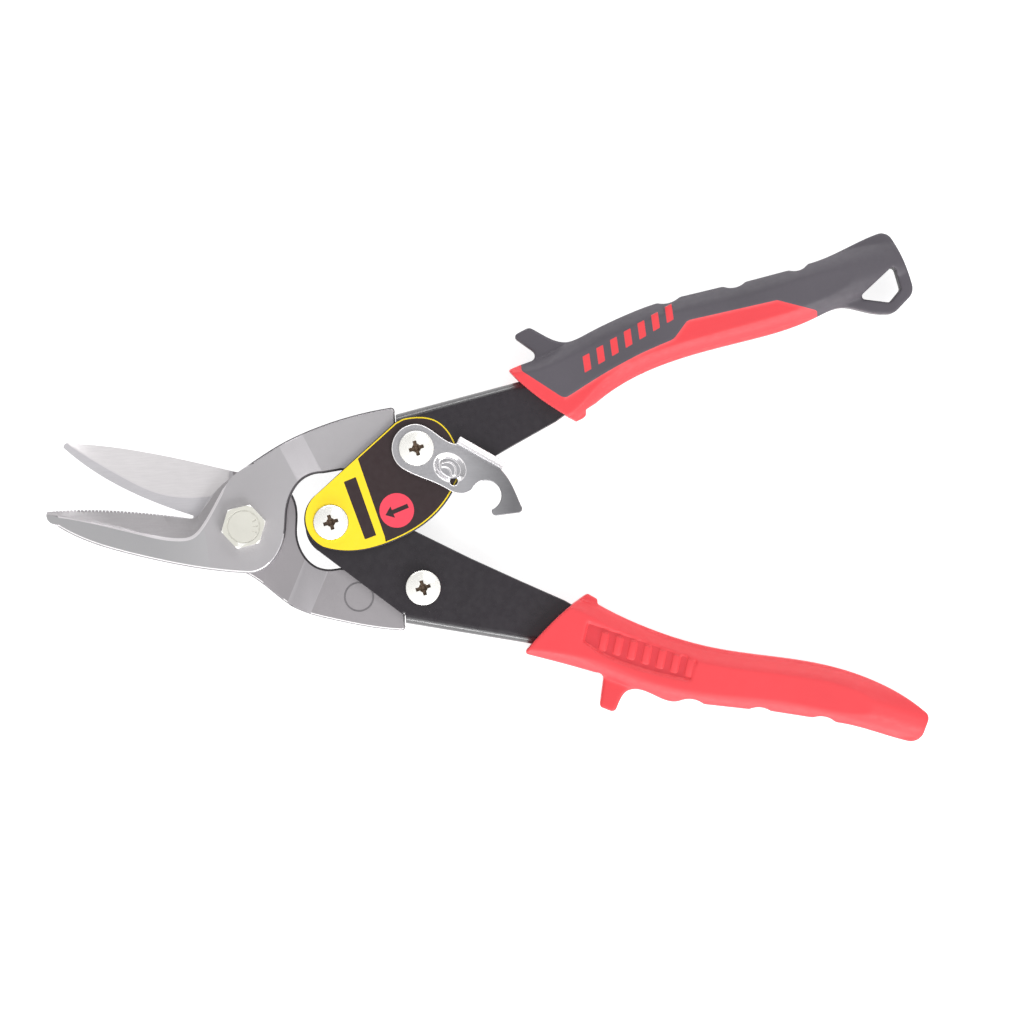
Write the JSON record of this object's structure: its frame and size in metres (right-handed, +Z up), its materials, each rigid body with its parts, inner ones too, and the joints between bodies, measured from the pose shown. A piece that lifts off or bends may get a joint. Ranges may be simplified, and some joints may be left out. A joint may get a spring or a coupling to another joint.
{
  "type": "aviation snips",
  "caption": "Compound-leverage sheet metal snips with forged jaws, linked channel handles, safety latch, return spring and moulded grips with a hang loop.",
  "frame": {"origin": "centre of the bounding box footprint, on the surface the tool lies on", "axes": "+X from the blades towards the grips along the tool, +Y towards the grip with the hang loop, +Z up from the surface through the pivots"},
  "size_m": [0.2432, 0.1412, 0.0218],
  "materials": {
    "jaw_steel": "satin forged and ground steel",
    "bright_steel": "bright nickel plate",
    "black_paint": "satin black paint",
    "latch_steel": "satin zinc plate",
    "spring_steel": "plain spring wire",
    "nylon": "natural nylon",
    "label_film": "printed film in yellow, black and red",
    "red_vinyl": "soft red vinyl",
    "black_rubber": "soft charcoal elastomer"
  },
  "bodies": {
    "upper_handle": {"upper_handle": "black_paint", "upper_link_sleeve": "bright_steel", "upper_link_screw": "bright_steel", "centre_sleeve": "bright_steel", "centre_screw": "bright_steel", "return_spring": "spring_steel", "latch_washer": "bright_steel", "front_label": "label_film", "upper_grip_core": "red_vinyl", "upper_grip_overmould": "black_rubber"},
    "lower_handle": {"lower_handle": "black_paint", "lower_link_sleeve": "bright_steel", "lower_link_screw": "bright_steel", "latch_keeper": "bright_steel", "lower_grip": "red_vinyl"},
    "front_jaw": {"front_jaw": "jaw_steel", "pivot_bolt": "bright_steel", "rear_washer": "bright_steel", "pivot_locknut": "bright_steel", "locknut_insert": "nylon"},
    "rear_jaw": {"rear_jaw": "jaw_steel"},
    "latch": {"latch": "latch_steel"}
  },
  "joints": [
    {"name": "handle_squeeze", "type": "hinge", "parent": "upper_handle", "child": "lower_handle", "pos_m": [-0.04276, -0.00204, 0.0105], "axis": [0, 0, 1], "range_deg": [0, 36], "stiffness_Nm_per_rad": 0.8, "springref_deg": -57.3, "deforming": ["return_spring"]},
    {"name": "front_jaw_pivot", "type": "hinge", "parent": "upper_handle", "child": "front_jaw", "pos_m": [-0.01804, 0.01733, 0.0105], "axis": [0, 0, 1], "range_deg": [0, 8.4]},
    {"name": "rear_jaw_pivot", "type": "hinge", "parent": "lower_handle", "child": "rear_jaw", "pos_m": [-0.01804, -0.0214, 0.0105], "axis": [0, 0, 1], "range_deg": [-8.4, 0]},
    {"name": "latch_pivot", "type": "hinge", "parent": "upper_handle", "child": "latch", "pos_m": [-0.01804, 0.01733, 0.0175], "axis": [0, 0, 1], "range_deg": [-36, 0]}
  ],
  "couplings": [
    {"joint": "front_jaw_pivot", "follows": "handle_squeeze", "ratio": 0.2313},
    {"joint": "rear_jaw_pivot", "follows": "handle_squeeze", "ratio": -0.2313}
  ]
}
